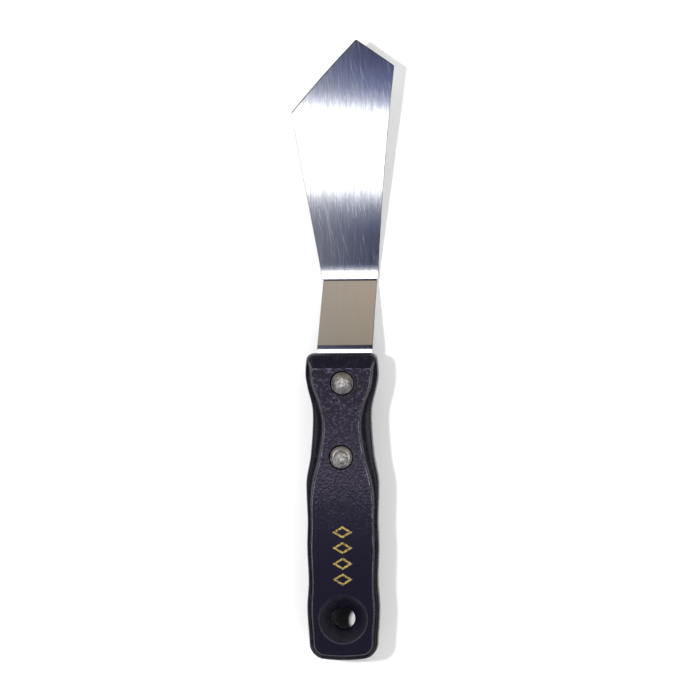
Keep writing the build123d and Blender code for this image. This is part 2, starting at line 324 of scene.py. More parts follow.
# ------------------------------------------------------------------ materials
def add(tree, kind, inputs=(), **choices):
    """Adds a shader node with its choices set, and gives its inputs values or links.

    An input is named or counted among the live ones. Returns the node's first live output.
    """
    node = tree.nodes.new("ShaderNode" + kind)
    for name, value in choices.items():
        setattr(node, name, value)
    live = [socket for socket in node.inputs if socket.enabled]
    for name, value in dict(inputs).items():
        socket = live[name] if isinstance(name, int) else node.inputs[name]
        if isinstance(value, bpy.types.NodeSocket):
            tree.links.new(value, socket)
        else:
            socket.default_value = value
    return next((socket for socket in node.outputs if socket.enabled), None)


def new_material(name):
    """An empty material, its node tree and the object coordinates that its patterns read."""
    material = bpy.data.materials.new(name)
    material.use_nodes = True
    tree = material.node_tree
    tree.nodes.clear()
    place = add(tree, "TexCoord").node.outputs["Object"]
    return material, tree, place


def pebbled_plastic():
    """ABS moulded against an etched die: small lumps that glint, and fade towards the tail."""
    own = settings("handle")
    relief_from, relief_full = 44 * MM, 88 * MM
    sheen_from, sheen_full = 28 * MM, 98 * MM
    gloss_until, dull_from = 52 * MM, 92 * MM
    material, tree, place = new_material("Moulded ABS, pebbled")
    lumps = add(
        tree,
        "TexNoise",
        {"Vector": place, "Scale": 1 / own.pebble, "Detail": 2.5, "Roughness": 0.6},
    )
    pits = add(tree, "TexVoronoi", {"Vector": place, "Scale": 0.8 / own.pebble})
    relief = add(tree, "Math", {0: pits, 1: 0.5, 2: lumps}, operation="MULTIPLY_ADD")
    along = add(tree, "SeparateXYZ", {"Vector": place}).node.outputs["Y"]
    fade = add(
        tree,
        "MapRange",
        {"Value": along, "From Min": relief_from, "From Max": relief_full, "To Min": 0.08},
    )
    bump = add(tree, "Bump", {"Height": relief, "Strength": fade, "Distance": 0.2 * MM})
    # Painted sheen: the lump tops are painted lighter, most towards the rivets and not at all near
    # the tail.
    tops = add(tree, "MapRange", {"Value": lumps, "From Min": 0.53, "From Max": 0.67})
    sheen_fade = add(
        tree,
        "MapRange",
        {"Value": along, "From Min": sheen_from, "From Max": sheen_full, "To Max": 0.9},
    )
    pale = add(tree, "Math", {0: tops, 1: sheen_fade}, operation="MULTIPLY")
    tone = add(tree, "Mix", {0: pale, 1: own.plastic, 2: own.rubbed_and_sheen}, data_type="RGBA")
    gloss = add(
        tree,
        "MapRange",
        {
            "Value": along,
            "From Min": gloss_until,
            "From Max": dull_from,
            "To Min": 0.14,
            "To Max": 0.42,
        },
    )
    shader = add(
        tree,
        "BsdfPrincipled",
        {
            "Base Color": tone,
            "Roughness": gloss,
            "Normal": bump,
            "IOR": 1.44,
            "Specular Tint": own.glint,
        },
    )
    add(tree, "OutputMaterial", {"Surface": shader})
    return material


def smooth_plastic():
    """ABS moulded against a polished die: a satin rim and cove with faint handling marks."""
    own = settings("handle")
    material, tree, place = new_material("Moulded ABS, satin")
    smear, orange_peel = 2.5 * MM, 0.6 * MM
    marks = add(tree, "TexNoise", {"Vector": place, "Scale": 1 / smear, "Detail": 5})
    rub = add(tree, "MapRange", {"Value": marks, "From Min": 0.5, "From Max": 0.8, "To Max": 0.1})
    tone = add(tree, "Mix", {0: rub, 1: own.plastic, 2: own.rubbed_and_sheen}, data_type="RGBA")
    gloss = add(
        tree,
        "MapRange",
        {"Value": marks, "From Min": 0.3, "From Max": 0.7, "To Min": 0.2, "To Max": 0.32},
    )
    grain = add(tree, "TexNoise", {"Vector": place, "Scale": 1 / orange_peel, "Detail": 2})
    bump = add(tree, "Bump", {"Height": grain, "Strength": 0.3, "Distance": 0.04 * MM})
    shader = add(
        tree,
        "BsdfPrincipled",
        {"Base Color": tone, "Roughness": gloss, "Normal": bump, "IOR": 1.5},
    )
    add(tree, "OutputMaterial", {"Surface": shader})
    return material


def edge_highlight_plastic():
    """The same ABS along the face's edge, with pale patches painted on as a highlight, faint at the
    tail and full towards the mouth.
    """
    own = settings("handle")
    material, tree, place = new_material("Moulded ABS, rubbed edge")
    patch, brightest_above = 2.2 * MM, 55 * MM
    # This noise places the patches of painted highlight and varies their gloss.
    wear = add(tree, "TexNoise", {"Vector": place, "Scale": 1 / patch, "Detail": 4})
    highlight_patches = add(tree, "MapRange", {"Value": wear, "From Min": 0.35, "From Max": 0.65})
    along = add(tree, "SeparateXYZ", {"Vector": place}).node.outputs["Y"]
    fade = add(tree, "MapRange", {"Value": along, "From Max": brightest_above, "To Min": 0.1})
    # The painted highlight is faint at the tail and full from 55 mm past the hanging hole, towards
    # the mouth.
    share = add(tree, "Math", {0: highlight_patches, 1: fade}, operation="MULTIPLY")
    tone = add(tree, "Mix", {0: share, 1: own.plastic, 2: own.edge}, data_type="RGBA")
    gloss = add(
        tree,
        "MapRange",
        {"Value": wear, "From Min": 0.3, "From Max": 0.7, "To Min": 0.38, "To Max": 0.22},
    )
    shader = add(tree, "BsdfPrincipled", {"Base Color": tone, "Roughness": gloss, "IOR": 1.44})
    add(tree, "OutputMaterial", {"Surface": shader})
    return material


def brushed_steel():
    """Stainless strip, belt-brushed lengthwise: fine streaks, and glints that spread sideways."""
    own = settings("blade")
    material, tree, place = new_material("Stainless steel, brushed")
    parts = add(tree, "SeparateXYZ", {"Vector": place}).node.outputs
    # The belt only worked the blade: the marks fade out over the heel, and the neck is plainer.
    plain_until, brushed_from = 132 * MM, 136 * MM
    polish = add(
        tree,
        "MapRange",
        {"Value": parts["Y"], "From Min": plain_until, "From Max": brushed_from, "To Min": 0.12},
    )
    # Real brush marks are about a tenth as wide, which is too fine to show.
    lengthwise = add(tree, "Mapping", {"Vector": place, "Scale": (1, 0.012, 0.012)})
    marks = add(
        tree,
        "TexNoise",
        {"Vector": lengthwise, "Scale": 1 / own.brush_mark, "Detail": 3, "Roughness": 0.65},
    )
    wavy = add(tree, "Mapping", {"Vector": place, "Scale": (1, 0.1, 0.1)})
    waves = add(tree, "TexNoise", {"Vector": wavy, "Scale": 1 / own.wave, "Detail": 2.5})
    wave_height = add(tree, "Math", {0: polish, 1: own.wave_height}, operation="MULTIPLY")
    squared = add(tree, "Math", {0: parts["X"], 1: parts["X"]}, operation="MULTIPLY")
    crown = add(tree, "Math", {0: squared, 1: -own.crown}, operation="MULTIPLY")
    form = add(tree, "Math", {0: waves, 1: wave_height, 2: crown}, operation="MULTIPLY_ADD")
    ground = add(tree, "Bump", {"Height": form, "Distance": 1.0, "Strength": 1.0})
    fine = add(tree, "Math", {0: polish, 1: 0.35}, operation="MULTIPLY")
    bump = add(
        tree,
        "Bump",
        {"Height": marks, "Strength": fine, "Distance": 0.01 * MM, "Normal": ground},
    )
    leaning = add(
        tree,
        "Mapping",
        {"Vector": place, "Rotation": (0, 0, own.scratch_lean), "Scale": (1, 30, 30)},
        vector_type="TEXTURE",
    )
    lines = add(tree, "TexNoise", {"Vector": leaning, "Scale": 1 / own.scratch, "Detail": 1})
    scored = add(
        tree,
        "MapRange",
        {"Value": lines, "From Min": 0.63, "From Max": 0.7, "To Max": 0.1},
    )
    scratch = add(tree, "Math", {0: scored, 1: polish}, operation="MULTIPLY")
    deep = add(tree, "MapRange", {"Value": marks, "From Min": 0.35, "From Max": 0.75})
    shade = add(tree, "Math", {0: deep, 1: polish}, operation="MULTIPLY")
    tone = add(tree, "Mix", {0: shade, 1: own.metal, 2: own.metal_shade}, data_type="RGBA")
    brushed = add(
        tree,
        "MapRange",
        {"Value": marks, "From Min": 0.3, "From Max": 0.7, "To Min": 0.13, "To Max": 0.19},
    )
    gloss = add(tree, "Math", {0: brushed, 1: scratch}, operation="ADD")
    across = add(tree, "CombineXYZ", {"X": 1.0})
    shader = add(
        tree,
        "BsdfPrincipled",
        {
            "Base Color": tone,
            "Metallic": 1.0,
            "Roughness": gloss,
            "Anisotropic": 0.9,
            "Normal": bump,
            "Tangent": across,
        },
    )
    add(tree, "OutputMaterial", {"Surface": shader})
    return material


def ground_steel():
    """The strip's cut and ground edges: duller steel with fine marks round the outline, its colour
    painted dark as shade.
    """
    own = settings("blade")
    material, tree, place = new_material("Stainless steel, ground")
    # Real grinding marks are finer, but wouldn't show.
    grit = 0.3 * MM
    marks = add(tree, "TexNoise", {"Vector": place, "Scale": 1 / grit, "Detail": 3})
    tone = add(tree, "Mix", {0: marks, 1: own.ground_edge_painted_dark, 2: own.edge_shade}, data_type="RGBA")
    gloss = add(
        tree,
        "MapRange",
        {"Value": marks, "From Min": 0.3, "From Max": 0.7, "To Min": 0.28, "To Max": 0.42},
    )
    shader = add(
        tree,
        "BsdfPrincipled",
        {"Base Color": tone, "Metallic": 1.0, "Roughness": gloss},
    )
    add(tree, "OutputMaterial", {"Surface": shader})
    return material


def nickel_plate():
    """Nickel plating over a hammered head: warm silver, with dirt where it is low."""
    own = settings("rivets")
    material, tree, place = new_material("Nickel plate, hammered")
    spot = 0.9 * MM
    spots = add(
        tree, "TexNoise", {"Vector": place, "Scale": 1 / spot, "Detail": 4, "Roughness": 0.6}
    )
    dirt = add(
        tree, "MapRange", {"Value": spots, "From Min": 0.52, "From Max": 0.75, "To Max": 0.75}
    )
    tone = add(tree, "Mix", {0: dirt, 1: own.plate, 2: own.grime}, data_type="RGBA")
    gloss = add(
        tree,
        "MapRange",
        {"Value": spots, "From Min": 0.3, "From Max": 0.7, "To Min": 0.18, "To Max": 0.5},
    )
    bump = add(tree, "Bump", {"Height": spots, "Strength": 1.0, "Distance": 0.12 * MM})
    shader = add(
        tree,
        "BsdfPrincipled",
        {"Base Color": tone, "Metallic": 1.0, "Roughness": gloss, "Normal": bump},
    )
    add(tree, "OutputMaterial", {"Surface": shader})
    return material


def stamped_foil():
    """Hot-stamped foil: bright gold, broken where the plastic shows through."""
    own = settings("foil")
    material, tree, place = new_material("Gold foil, hot-stamped")
    flake = 0.55 * MM
    wear = add(
        tree, "TexNoise", {"Vector": place, "Scale": 1 / flake, "Detail": 3, "Roughness": 0.7}
    )
    worn = add(tree, "MapRange", {"Value": wear, "From Min": 0.46, "From Max": 0.58})
    tone = add(tree, "Mix", {0: worn, 1: own.gold, 2: own.bare}, data_type="RGBA")
    metallic = add(tree, "Math", {0: 1.0, 1: worn}, operation="SUBTRACT")
    gloss = add(
        tree,
        "MapRange",
        {"Value": wear, "From Min": 0.3, "From Max": 0.7, "To Min": 0.28, "To Max": 0.5},
    )
    shader = add(
        tree,
        "BsdfPrincipled",
        {"Base Color": tone, "Metallic": metallic, "Roughness": gloss},
    )
    add(tree, "OutputMaterial", {"Surface": shader})
    return material


def studio_paper():
    """Matt white paper with the faintest mottle."""
    own = settings("stage")
    material, tree, place = new_material("Paper, matt white")
    cloud = 60 * MM
    mottle = add(tree, "TexNoise", {"Vector": place, "Scale": 1 / cloud})
    tone = add(tree, "Mix", {0: mottle, 1: own.paper, 2: own.paper_shade}, data_type="RGBA")
    shader = add(
        tree,
        "BsdfPrincipled",
        {"Base Color": tone, "Roughness": 0.9, "Specular IOR Level": 0.1},
    )
    add(tree, "OutputMaterial", {"Surface": shader})
    return material


# ------------------------------------------------------------------ mesh helpers
def ring(bm, points):
    """A closed ring of edges through these points."""
    verts = bmesh.ops.create_circle(bm, segments=len(points), radius=1)["verts"]
    for vert, point in zip(verts, points):
        vert.co = point
    return list(dict.fromkeys(edge for vert in verts for edge in vert.link_edges))


def round_ring(bm, centre, radius, z, steps=72):
    """A ring of edges on a level circle."""
    turns = [2 * math.pi * i / steps for i in range(steps)]
    circle = [Vector((radius * math.cos(turn), radius * math.sin(turn), z)) for turn in turns]
    return ring(bm, [centre + point for point in circle])


def skin(bm, rings, slot):
    """Smooth faces between each ring and the next."""
    for first, second in zip(rings, rings[1:]):
        for face in bmesh.ops.bridge_loops(bm, edges=first + second)["faces"]:
            face.material_index = slot
            face.smooth = True


def level_fill(bm, rings, slot):
    """A level face inside the outer ring, leaving out the rings within it.

    It also joins two level rings, because a bridge between those can come out twisted.
    """
    edges = [edge for one in rings for edge in one]
    for face in bmesh.ops.triangle_fill(bm, use_beauty=True, edges=edges, normal=UP)["geom"]:
        if isinstance(face, bmesh.types.BMFace):
            face.material_index = slot
            face.smooth = True


def new_piece(bm, name, materials):
    """Closes a mesh, turns its faces outwards, marks its sharp edges and makes it an object."""
    touching = 0.0005 * MM
    sharp = math.radians(35)
    bmesh.ops.remove_doubles(bm, verts=bm.verts, dist=touching)
    bmesh.ops.recalc_face_normals(bm, faces=bm.faces)
    for edge in bm.edges:
        finishes = {face.material_index for face in edge.link_faces}
        edge.smooth = len(finishes) == 1 and edge.calc_face_angle(0) < sharp
    mesh = bpy.data.meshes.new(name)
    bm.to_mesh(mesh)
    bm.free()
    for material in materials:
        mesh.materials.append(material)
    piece = bpy.data.objects.new(name, mesh)
    bpy.context.scene.collection.objects.link(piece)
    return piece


def cut_away(piece, bm):
    """Takes a closed mesh out of a piece."""
    cutter = new_piece(bm, piece.name + "_cutter", [])
    modifier = piece.modifiers.new("Cut", "BOOLEAN")
    modifier.operation = "DIFFERENCE"
    modifier.solver = "EXACT"
    modifier.object = cutter
    bpy.context.view_layer.update()
    shape = piece.evaluated_get(bpy.context.evaluated_depsgraph_get())
    cut = bpy.data.meshes.new_from_object(shape)
    piece.modifiers.clear()
    old, piece.data = piece.data, cut
    cut.name = piece.name
    bpy.data.meshes.remove(old)
    bpy.data.meshes.remove(cutter.data)


def stand_for(piece, slot, *nodes):
    """The piece rides on the knife and stands for some CAD nodes. Its finish slot is not used."""
    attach(piece, ROOT)
    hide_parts(*nodes)


# ------------------------------------------------------------------ handle
def half_width_at(stations, y):
    """Half width at a place along the grip: a smooth curve through (along, across) stations."""
    slopes = [(c[1] - a[1]) / (c[0] - a[0]) for a, c in zip(stations, stations[2:])]
    slopes = [0.0, *slopes, 0.0]
    spot = max((i for i in range(len(stations) - 1) if stations[i][0] <= y), default=0)
    (y0, x0), (y1, x1) = stations[spot], stations[spot + 1]
    span = y1 - y0
    t = min(1.0, max(0.0, (y - y0) / span))
    return (
        (2 * t**3 - 3 * t**2 + 1) * x0
        + (t**3 - 2 * t**2 + t) * span * slopes[spot]
        + (3 * t**2 - 2 * t**3) * x1
        + (t**3 - t**2) * span * slopes[spot + 1]
    )


def corner_curve(start, start_way, end, end_way, reach, steps=8):
    """A rounded corner between two directions, without its last point."""
    pull = ROUND_PULL * reach
    points = interpolate_bezier(
        start, start + pull * start_way, end - pull * end_way, end, steps + 1
    )
    return [Vector((p.x, p.y, 0)) for p in points[:-1]]


def grip_outline(profile, half_width, tail_y, mouth_y, bow, taper, corners):
    """A closed outline of the grip. All outlines made here have matching points."""
    side_steps, end_steps = 110, 9
    tail_corner, mouth_corner = corners
    reach = mouth_y - tail_y
    side = [(tail_y + reach * share, half_width * wide) for share, wide in profile]
    stations = [(tail_y + bow, side[0][1] * taper), *side, (mouth_y, side[-1][1])]
    tail_x, mouth_x = stations[0][1], stations[-1][1]
    end_x = tail_x - tail_corner
    right = []
    for i in range(end_steps):
        x = end_x * i / end_steps
        right.append(Vector((x, tail_y + bow * (x / tail_x) ** 2, 0)))
    tail_end = Vector((end_x, tail_y + bow * (end_x / tail_x) ** 2, 0))
    tail_way = Vector((1, 2 * bow * end_x / tail_x**2, 0)).normalized()
    low = tail_y + bow + tail_corner
    high = mouth_y - mouth_corner
    side_start = Vector((half_width_at(stations, low), low, 0))
    side_end = Vector((half_width_at(stations, high), high, 0))
    along = Vector((0, 1, 0))
    right += corner_curve(tail_end, tail_way, side_start, along, tail_corner)
    for i in range(side_steps):
        y = low + (high - low) * i / side_steps
        right.append(Vector((half_width_at(stations, y), y, 0)))
    mouth_end = Vector((mouth_x - mouth_corner, mouth_y, 0))
    right += corner_curve(side_end, along, mouth_end, Vector((-1, 0, 0)), mouth_corner)
    for i in range(end_steps + 1):
        right.append(mouth_end * (1 - i / end_steps) + Vector((0, mouth_y, 0)) * (i / end_steps))
    left = [Vector((-p.x, p.y, 0)) for p in reversed(right[1:-1])]
    return right + left


def rim_section(own, run, hollow):
    """The scale's edge in section, as (inwards, up) points from the parting plane to the face.

    The bevel is straight where hollow is 0. Where it is 1 there is a cove, which leaves the rim
    nearly level and climbs steeply to the face.
    """
    rim_steps, cove_steps, lip_steps = 8, 10, 4
    straight_pull, lip_pull = 0.36, 0.5
    shoulder_back, first_more, last_less = 0.35 * hollow, 0.2 * hollow, 0.14 * hollow
    rise = FACE_Z - own.rim_height
    straight = math.atan2(rise, run)
    start_slope = straight + (own.shoulder - straight) * hollow
    end_slope = straight + (max(own.crest_slope, straight) - straight) * hollow
    start_way = Vector((math.cos(start_slope), math.sin(start_slope)))
    end_way = Vector((math.cos(end_slope), math.sin(end_slope)))
    wall_top = Vector((0, own.rim_height - own.rim_round))
    shoulder = Vector((0, own.rim_height)) + start_way * own.rim_round * (1 - shoulder_back)
    crest = Vector((run, FACE_Z - own.crest_round))
    face = Vector((run + own.crest_round, FACE_Z))
    turn_in = start_way * ROUND_PULL * own.rim_round
    turn_up = Vector((0, ROUND_PULL * own.rim_round))
    rim = interpolate_bezier(
        wall_top, wall_top + turn_up, shoulder - turn_in, shoulder, rim_steps
    )
    reach = (crest - shoulder).length
    first = start_way * (straight_pull + first_more) * reach
    last = end_way * (straight_pull - last_less) * reach
    cove = interpolate_bezier(shoulder, shoulder + first, crest - last, crest, cove_steps)
    pull = lip_pull * own.crest_round
    lip = interpolate_bezier(
        crest, crest + end_way * pull, face - Vector((pull, 0)), face, lip_steps
    )
    level = Vector((run + 2 * own.crest_round, FACE_Z))
    parting = [Vector((own.parting, 0)), Vector((0, own.parting))]
    return [*parting, *rim, *cove[1:], *lip[1:], level]


def hole_rings(bm, centre, steps):
    """Rings down a round hole, from (radius, height) steps."""
    return [round_ring(bm, centre, radius, z) for radius, z in steps]


def lozenge(bm, centre, half_wide, half_long, z):
    """A ring of edges round a lozenge."""
    corners = ((half_wide, 0), (0, half_long), (-half_wide, 0), (0, -half_long))
    return ring(bm, [Vector((centre.x + x, centre.y + y, z)) for x, y in corners])


def foil_recess(bm):
    """The stamped recess of each lozenge: rings to leave out of the face, once it is filled."""
    own = settings("foil")
    low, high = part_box("foil_mark")
    half_wide = (high.x - low.x) / 2
    half_long = (high.y - low.y - own.pitch * (own.count - 1)) / 2
    inset = own.stroke * math.hypot(half_wide, half_long) / (half_wide * half_long)
    outlines = []
    for i in range(own.count):
        middle = Vector(((low.x + high.x) / 2, low.y + half_long + i * own.pitch, 0))
        levels = (FACE_Z, FACE_Z - own.recess)
        outer = [lozenge(bm, middle, half_wide, half_long, z) for z in levels]
        share = 1 - inset
        inner = [lozenge(bm, middle, half_wide * share, half_long * share, z) for z in levels]
        skin(bm, [*outer, *reversed(inner)], PEBBLED)
        level_fill(bm, [inner[0]], PEBBLED)
        outlines.append(outer[0])
    return outlines


def rim_wall(bm, own):
    """The scale's edge from the parting plane to the face. Returns its first and last rings."""
    rim = grip_outline(
        GRIP_PROFILE,
        HALF_WIDTH,
        TAIL_Y,
        MOUTH_Y,
        own.tail_bow,
        own.tail_taper,
        (own.tail_corner, own.mouth_corner),
    )
    face = grip_outline(
        FACE_PROFILE,
        HALF_WIDTH - own.side_bevel,
        TAIL_Y + own.tail_bevel,
        MOUTH_Y - own.mouth_bevel,
        own.face_tail_bow,
        own.tail_taper,
        (own.face_tail_corner, own.face_mouth_corner),
    )
    ways = [(inner - outer).normalized() for outer, inner in zip(rim, face)]
    # The cove runs along the sides and round the tail, and the mouth's bevel is straight.
    cove_from, cove_blend = 0.3, 0.3
    sections = []
    for outer, inner, way in zip(rim, face, ways):
        turn = min(1.0, max(0.0, (max(abs(way.x), way.y) - cove_from) / cove_blend))
        hollow = turn * turn * (3 - 2 * turn)
        sections.append(rim_section(own, (inner - outer).length, hollow))
    wall = []
    for level in zip(*sections):
        points = [
            outer + way * step.x + UP * step.y for outer, way, step in zip(rim, ways, level)
        ]
        wall.append(ring(bm, points))
    lip_rings = 5
    skin(bm, wall[: -lip_rings + 1], SATIN)
    # The rings at the crest take the painted edge highlight.
    skin(bm, wall[-lip_rings:-1], EDGE_HIGHLIGHT)
    skin(bm, wall[-2:], PEBBLED)
    return wall[0], wall[-1]


def rivet_seat(bm, own, centre):
    """A rivet's seat and the hole below it. Returns its first and last rings."""
    lip = own.seat_lip
    seat_z = FACE_Z - own.seat_depth
    steps = (
        (own.seat_radius + 2 * lip, FACE_Z),
        (own.seat_radius + lip, FACE_Z),
        (own.seat_radius + 0.3 * lip, FACE_Z - 0.3 * lip),
        (own.seat_radius, FACE_Z - lip),
        (own.seat_radius, seat_z + own.seat_cone),
        (settings("rivets").head_radius, seat_z),
        (own.sleeve_hole, seat_z),
        (own.sleeve_hole, 0),
    )
    rings = hole_rings(bm, centre, steps)
    skin(bm, rings[:-2], SATIN)
    level_fill(bm, rings[-3:-1], SATIN)
    skin(bm, rings[-2:], SATIN)
    return rings[0], rings[-1]


def hanging_hole(bm, own):
    """The dish and the hanging hole in its middle. Returns its first and last rings."""
    soft = own.dish_round
    slope = (own.dish_radius - own.hole_radius) / own.dish_depth
    throat_z = FACE_Z - own.dish_depth
    steps = (
        (own.dish_radius + 1.6 * soft, FACE_Z),
        (own.dish_radius + 0.6 * soft, FACE_Z),
        (own.dish_radius + 0.1 * soft, FACE_Z - 0.12 * soft),
        (own.dish_radius - 0.4 * soft, FACE_Z - 0.5 * soft),
        (own.dish_radius - slope * soft, FACE_Z - soft),
        (own.hole_radius + slope * soft, throat_z + soft),
        (own.hole_radius + 0.25 * soft, throat_z + 0.2 * soft),
        (own.hole_radius, throat_z - 0.5 * soft),
        (own.hole_radius, 0),
    )
    rings = hole_rings(bm, Vector((0, 0, 0)), steps)
    skin(bm, rings, SATIN)
    return rings[0], rings[-1]


def locator(bm, own, centre, peg):
    """A peg, or the socket that takes one. Returns the ring round its root."""
    if peg:
        steps = (
            (own.peg_radius, 0),
            (own.peg_radius, own.peg_chamfer - own.peg_height),
            (own.peg_radius - own.peg_chamfer, -own.peg_height),
        )
    else:
        radius = own.peg_radius + own.socket_clearance
        steps = ((radius, 0), (radius, own.peg_height + own.socket_room))
    rings = hole_rings(bm, centre, steps)
    skin(bm, rings, SATIN)
    level_fill(bm, [rings[-1]], SATIN)
    return rings[0]


def scale_mesh(own, marked, pegs):
    """One scale, face up: its skin, its holes, and a peg or a socket at each peg's place."""
    bm = bmesh.new()
    rim_ring, face_ring = rim_wall(bm, own)
    outlines, inner_rings = [face_ring], [rim_ring]
    seats = [rivet_seat(bm, own, centre) for centre in RIVETS.values()]
    for outline, inner in (*seats, hanging_hole(bm, own)):
        outlines.append(outline)
        inner_rings.append(inner)
    if marked:
        outlines += foil_recess(bm)
    level_fill(bm, outlines, PEBBLED)
    for y in (own.peg_from_hole, BLADE_LOW.y - own.peg_from_tang):
        inner_rings.append(locator(bm, own, Vector((0, y, 0)), pegs))
    level_fill(bm, inner_rings, SATIN)
    return bm


def tang_corners(own, clearance):
    """The four corners of the leaning tang, from the mouth's left round to its right."""
    half = own.tang_width / 2 + clearance
    middle = Vector((0, (MOUTH_Y + BLADE_LOW.y) / 2, 0))
    middle.x = (middle.y - RIVET_MIDDLE.y) * RIVET_LEAN
    reach = (MOUTH_Y - BLADE_LOW.y) / 2 + clearance
    turn = Matrix.Rotation(-math.atan(RIVET_LEAN), 3, "Z")
    corners = ((-half, reach), (-half, -reach), (half, -reach), (half, reach))
    return [middle + turn @ Vector((x, y, 0)) for x, y in corners]


def prism(points, low, high):
    """A closed prism over a plan outline."""
    bm = bmesh.new()
    base = bm.faces.new([bm.verts.new(Vector((p.x, p.y, low))) for p in points])
    top = bmesh.ops.extrude_face_region(bm, geom=[base])["geom"]
    lifted = [item for item in top if isinstance(item, bmesh.types.BMVert)]
    bmesh.ops.translate(bm, verts=lifted, vec=UP * (high - low))
    return bm


def cut_pocket(piece, side):
    """Cuts half of the steel's thickness out of a scale's inner face, open at the mouth."""
    own = settings("blade")
    clearance = settings("handle").pocket_clearance
    corners = tang_corners(own, clearance)
    left, right = -own.neck_left - clearance, own.neck_right + clearance
    back = MOUTH_Y - own.neck_root - clearance
    root = [
        Vector((left, MOUTH_Y + clearance, 0)),
        Vector((left, back, 0)),
        Vector((right, back, 0)),
        Vector((right, MOUTH_Y + clearance, 0)),
    ]
    low, high = sorted((-side * own.steel, side * own.steel / 2))
    for outline in (corners, root):
        cut_away(piece, prism(outline, low, high))


class KNIFE_OT_scales(bpy.types.Operator):
    """Builds the two moulded handle scales"""

    bl_idname = "palette_knife.scales"
    bl_label = "Handle scales"

    def execute(self, context):
        own = settings("handle")
        finishes = [pebbled_plastic(), smooth_plastic(), edge_highlight_plastic()]
        for name, side in (("front_scale", 1), ("back_scale", -1)):
            bm = scale_mesh(own, marked=side > 0, pegs=side > 0)
            bmesh.ops.scale(bm, verts=bm.verts, vec=(1, 1, side))
            piece = new_piece(bm, name + "_moulded", finishes)
            cut_pocket(piece, side)
            stand_for(piece, "handle_plastic", name)
        return {"FINISHED"}


# ------------------------------------------------------------------ blade
def bowed(start, end, rise, steps=16):
    """Points from start towards end on a shallow curve that bulges to the left of the way."""
    way = end - start
    normal = Vector((-way.y, way.x, 0)).normalized()
    shares = [i / steps for i in range(steps)]
    return [start + way * s + normal * (4 * rise * s * (1 - s)) for s in shares]


def steel_line(own):
    """Side view of the middle of the bent strip, as (along, up) points from tang to tip."""
    heel_z = own.steel / 2 + FLOOR_Z
    run, drop = own.neck_reach - own.flat_strip, -heel_z
    slope = math.atan2(drop, run)
    neck_cut = own.neck_bend * math.tan(slope / 2)
    heel_cut = own.heel_bend * math.tan(slope / 2)
    curl_radius = own.heel_curl / own.heel_rise
    curl_end = Vector(
        (
            MOUTH_Y + own.neck_reach + own.heel_flat + curl_radius * math.sin(own.heel_rise),
            heel_z + curl_radius * (1 - math.cos(own.heel_rise)),
        )
    )
    chord = Vector((BLADE_HIGH.y, own.tip_lift + FLOOR_Z)) - curl_end
    settle = 2 * (own.heel_rise - math.atan2(chord.y, chord.x))
    sweep = chord.length * (settle / 2) / math.sin(settle / 2)
    bend_steps, curl_steps, sweep_steps = 8, 10, 70
    # Each run has a length, the angle that it turns through, and its steps.
    runs = (
        (MOUTH_Y + own.flat_strip - neck_cut - BLADE_LOW.y, 0, 1),
        (own.neck_bend * slope, -slope, bend_steps),
        (math.hypot(run, drop) - neck_cut - heel_cut, 0, 1),
        (own.heel_bend * slope, slope, bend_steps),
        (own.heel_flat - heel_cut, 0, 1),
        (own.heel_curl, own.heel_rise, curl_steps),
        (sweep, -settle, sweep_steps),
    )
    point, heading = Vector((BLADE_LOW.y, 0)), 0.0
    line = [point.copy()]
    for reach, turn, steps in runs:
        for _ in range(steps):
            heading += turn / steps / 2
            point = point + Vector((math.cos(heading), math.sin(heading))) * (reach / steps)
            heading += turn / steps / 2
            line.append(point)
    return line


def line_height(line, y):
    """Height of the strip's middle line at a place along the knife."""
    spot = max((i for i in range(len(line) - 1) if line[i].x <= y), default=0)
    first, second = line[spot], line[spot + 1]
    return first.y + (second.y - first.y) * (y - first.x) / (second.x - first.x)


def steel_thickness(own, y):
    """Thickness of the strip at a place along the knife: it thins from the heel to the tip."""
    start = MOUTH_Y + own.neck_reach + own.heel_flat + own.heel_curl
    share = min(1.0, max(0.0, (y - start) / (BLADE_HIGH.y - start)))
    return own.steel + (own.tip_steel - own.steel) * share


def blade_twist(own, place):
    """How far the blade's twist lowers a place: none at the heel, most at the tip."""
    start_y = (MOUTH_Y + own.neck_reach + BLADE_HIGH.y) / 2 - own.twist_early
    share = max(0.0, (place.y - start_y) / (BLADE_HIGH.y - start_y))
    return own.twist * share**2 * place.x / BLADE_HIGH.x


def blade_outline(own):
    """Plan of the blade, the neck and the tang.

    Returns it with the blade's three free corners and the two at the tang's end.
    """
    heel_y = MOUTH_Y + own.neck_reach
    step_y = heel_y + own.heel_step
    root_y = MOUTH_Y - own.neck_root
    tip = Vector((own.tip_across, BLADE_HIGH.y, 0))
    left_corner = Vector((BLADE_LOW.x, tip.y - own.corner_back_left, 0))
    right_corner = Vector((BLADE_HIGH.x, tip.y - own.corner_back_right, 0))
    heel_right = Vector((own.heel_right + own.heel_step, step_y, 0))
    top_left, low_left, low_right, top_right = tang_corners(own, 0)
    lean = (root_y - top_left.y) / (low_left.y - top_left.y)
    outline = [
        *bowed(right_corner, tip, 0, 1),
        *bowed(tip, left_corner, -own.left_bow),
        left_corner,
        Vector((-own.heel_left - own.heel_step, step_y, 0)),
        Vector((-own.heel_left, heel_y, 0)),
        Vector((-own.neck_left, MOUTH_Y, 0)),
        Vector((-own.neck_left, root_y, 0)),
        top_left.lerp(low_left, lean),
        low_left,
        low_right,
        top_right.lerp(low_right, lean),
        Vector((own.neck_right, root_y, 0)),
        Vector((own.neck_right, MOUTH_Y, 0)),
        Vector((own.heel_right, heel_y, 0)),
        *bowed(heel_right, right_corner, own.right_hollow),
    ]
    return outline, (right_corner, tip, left_corner), (low_left, low_right)


